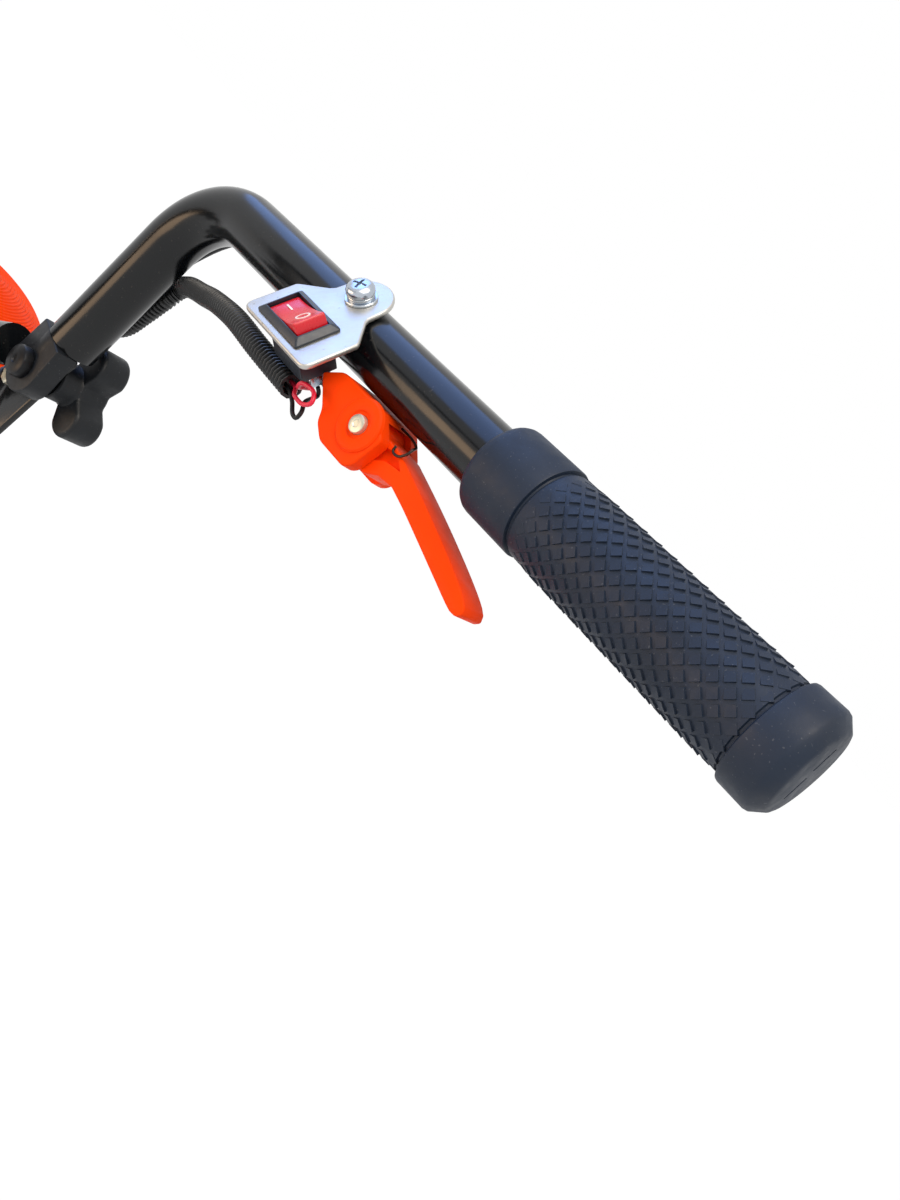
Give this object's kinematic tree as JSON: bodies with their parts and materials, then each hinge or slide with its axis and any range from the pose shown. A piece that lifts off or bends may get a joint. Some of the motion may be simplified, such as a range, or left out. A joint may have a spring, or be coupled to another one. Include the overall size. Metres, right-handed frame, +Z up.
{
  "type": "mini tiller",
  "caption": "Hand-held mini tiller with J-shaped folding handles, throttle lever, rocker switch, vertical engine and worm-driven tines.",
  "frame": {"origin": "middle of the overall box on the ground, under the machine", "axes": "+X to the machine's right, +Y forward (the grips point backward), +Z up"},
  "size_m": [0.4514, 0.7282, 0.7597],
  "materials": {
    "gloss_black": "gloss",
    "grip_rubber": "matt, ribbed",
    "orange_plastic": "satin",
    "red_plastic": "gloss",
    "black_plastic": "satin",
    "zinc_plate": "zinc plated",
    "bright_steel": "satin",
    "spring_steel": "dark",
    "cast_aluminium": "cast",
    "bronze": "machined",
    "tine_steel": "satin",
    "fuel_plastic": "translucent white",
    "wire_red_skin": "insulation"
  },
  "bodies": {
    "frame": {"air_filter_cover": "black_plastic", "carburettor": "cast_aluminium", "clutch_housing": "cast_aluminium", "crankcase": "cast_aluminium", "cylinder": "cast_aluminium", "cylinder_cover": "orange_plastic", "engine_plate": "gloss_black", "fan_housing": "orange_plastic", "fuel_tank": "fuel_plastic", "gear_case_left": "cast_aluminium", "gear_case_right": "cast_aluminium", "joint_plate_left": "gloss_black", "joint_plate_right": "gloss_black", "leg_tube_left": "gloss_black", "leg_tube_right": "gloss_black", "muffler": "spring_steel", "pivot_bolt_left": "bright_steel", "pivot_bolt_right": "bright_steel", "plate_bolt_left": "bright_steel", "plate_bolt_right": "bright_steel", "recoil_cover": "orange_plastic", "spark_plug": "bright_steel", "throttle_cable": "black_plastic", "tine_guard": "gloss_black", "wire_conduit": "black_plastic"},
    "right_handle": {"handle_tube_right": "gloss_black", "grip_right": "grip_rubber", "handle_lug_right": "black_plastic", "throttle_housing": "orange_plastic", "lever_pivot_pin": "bright_steel", "lever_return_spring": "spring_steel", "cable_adjuster": "bright_steel", "switch_bracket": "zinc_plate", "switch_body": "black_plastic", "bracket_screw": "bright_steel", "bracket_flat_washer": "bright_steel", "bracket_lock_washer": "bright_steel", "wire_black": "black_plastic", "wire_red": "wire_red_skin"},
    "left_handle": {"handle_tube_left": "gloss_black", "grip_left": "grip_rubber", "handle_lug_left": "black_plastic"},
    "tine_set": {"tine_shaft": "bright_steel", "tine_outer_left": "tine_steel", "tine_inner_left": "tine_steel", "tine_inner_right": "tine_steel", "tine_outer_right": "tine_steel", "worm_wheel": "bronze"},
    "worm_drive": {"drive_shaft": "bright_steel", "clutch_drum": "bright_steel"},
    "crank_set": {"crankshaft": "bright_steel", "flywheel": "cast_aluminium"},
    "lever": {"throttle_lever": "orange_plastic"},
    "rocker": {"switch_rocker": "red_plastic"},
    "knob_right": {"star_knob_right": "black_plastic"},
    "knob_left": {"star_knob_left": "black_plastic"},
    "cap": {"fuel_cap": "black_plastic"},
    "pull_handle": {"starter_handle": "black_plastic"},
    "pulley": {"starter_pulley": "black_plastic"},
    "stake": {"drag_stake": "tine_steel"}
  },
  "joints": [
    {"name": "handle_right_fold", "type": "hinge", "parent": "frame", "child": "right_handle", "pos_m": [0.062, -0.07417, 0.6], "axis": [0.8829, 0.4695, 0], "range_deg": [-40, 15], "deforming": ["throttle_cable", "wire_conduit"]},
    {"name": "handle_left_fold", "type": "hinge", "parent": "frame", "child": "left_handle", "pos_m": [-0.062, -0.07417, 0.6], "axis": [0.8829, -0.4695, 0], "range_deg": [-40, 15]},
    {"name": "knob_right_turn", "type": "hinge", "parent": "frame", "child": "knob_right", "pos_m": [0.062, -0.07417, 0.6], "axis": [0.8829, 0.4695, 0], "range_deg": [0, 360]},
    {"name": "knob_left_turn", "type": "hinge", "parent": "frame", "child": "knob_left", "pos_m": [-0.062, -0.07417, 0.6], "axis": [-0.8829, 0.4695, 0], "range_deg": [0, 360]},
    {"name": "throttle_squeeze", "type": "hinge", "parent": "right_handle", "child": "lever", "pos_m": [0.13813, -0.21736, 0.70697], "axis": [-0.8829, -0.4695, 0], "range_deg": [0, 9], "stiffness_Nm_per_rad": 0.8},
    {"name": "switch_rock", "type": "hinge", "parent": "right_handle", "child": "rocker", "pos_m": [0.10017, -0.194, 0.71304], "axis": [0.4793, 0.3506, 0.8046], "range_deg": [0, 27]},
    {"name": "fuel_cap_turn", "type": "hinge", "parent": "frame", "child": "cap", "pos_m": [-0.1, 0.18283, 0.381], "axis": [0, 0, 1], "range_deg": [0, 360]},
    {"name": "starter_pull", "type": "slide", "parent": "frame", "child": "pull_handle", "axis": [-1, 0, 0], "range_m": [0, 0.6]},
    {"name": "pulley_spin", "type": "hinge", "parent": "frame", "child": "pulley", "pos_m": [0, 0.20483, 0.476], "axis": [0, 0, 1], "range_deg": [-1187, 0]},
    {"name": "tine_spin", "type": "hinge", "parent": "frame", "child": "tine_set", "pos_m": [0, 0.17083, 0.09801], "axis": [1, 0, 0], "continuous": true},
    {"name": "worm_spin", "type": "hinge", "parent": "frame", "child": "worm_drive", "pos_m": [0, 0.20483, 0.09801], "axis": [0, 0, 1], "continuous": true},
    {"name": "crank_spin", "type": "hinge", "parent": "frame", "child": "crank_set", "pos_m": [0, 0.20483, 0.334], "axis": [0, 0, 1], "continuous": true},
    {"name": "stake_height", "type": "slide", "parent": "frame", "child": "stake", "axis": [0, 0, 1], "range_m": [-0.03, 0.06]}
  ],
  "couplings": [
    {"joint": "worm_spin", "follows": "tine_spin", "ratio": -20},
    {"joint": "pulley_spin", "follows": "starter_pull", "rad_per_m": -34.483}
  ]
}
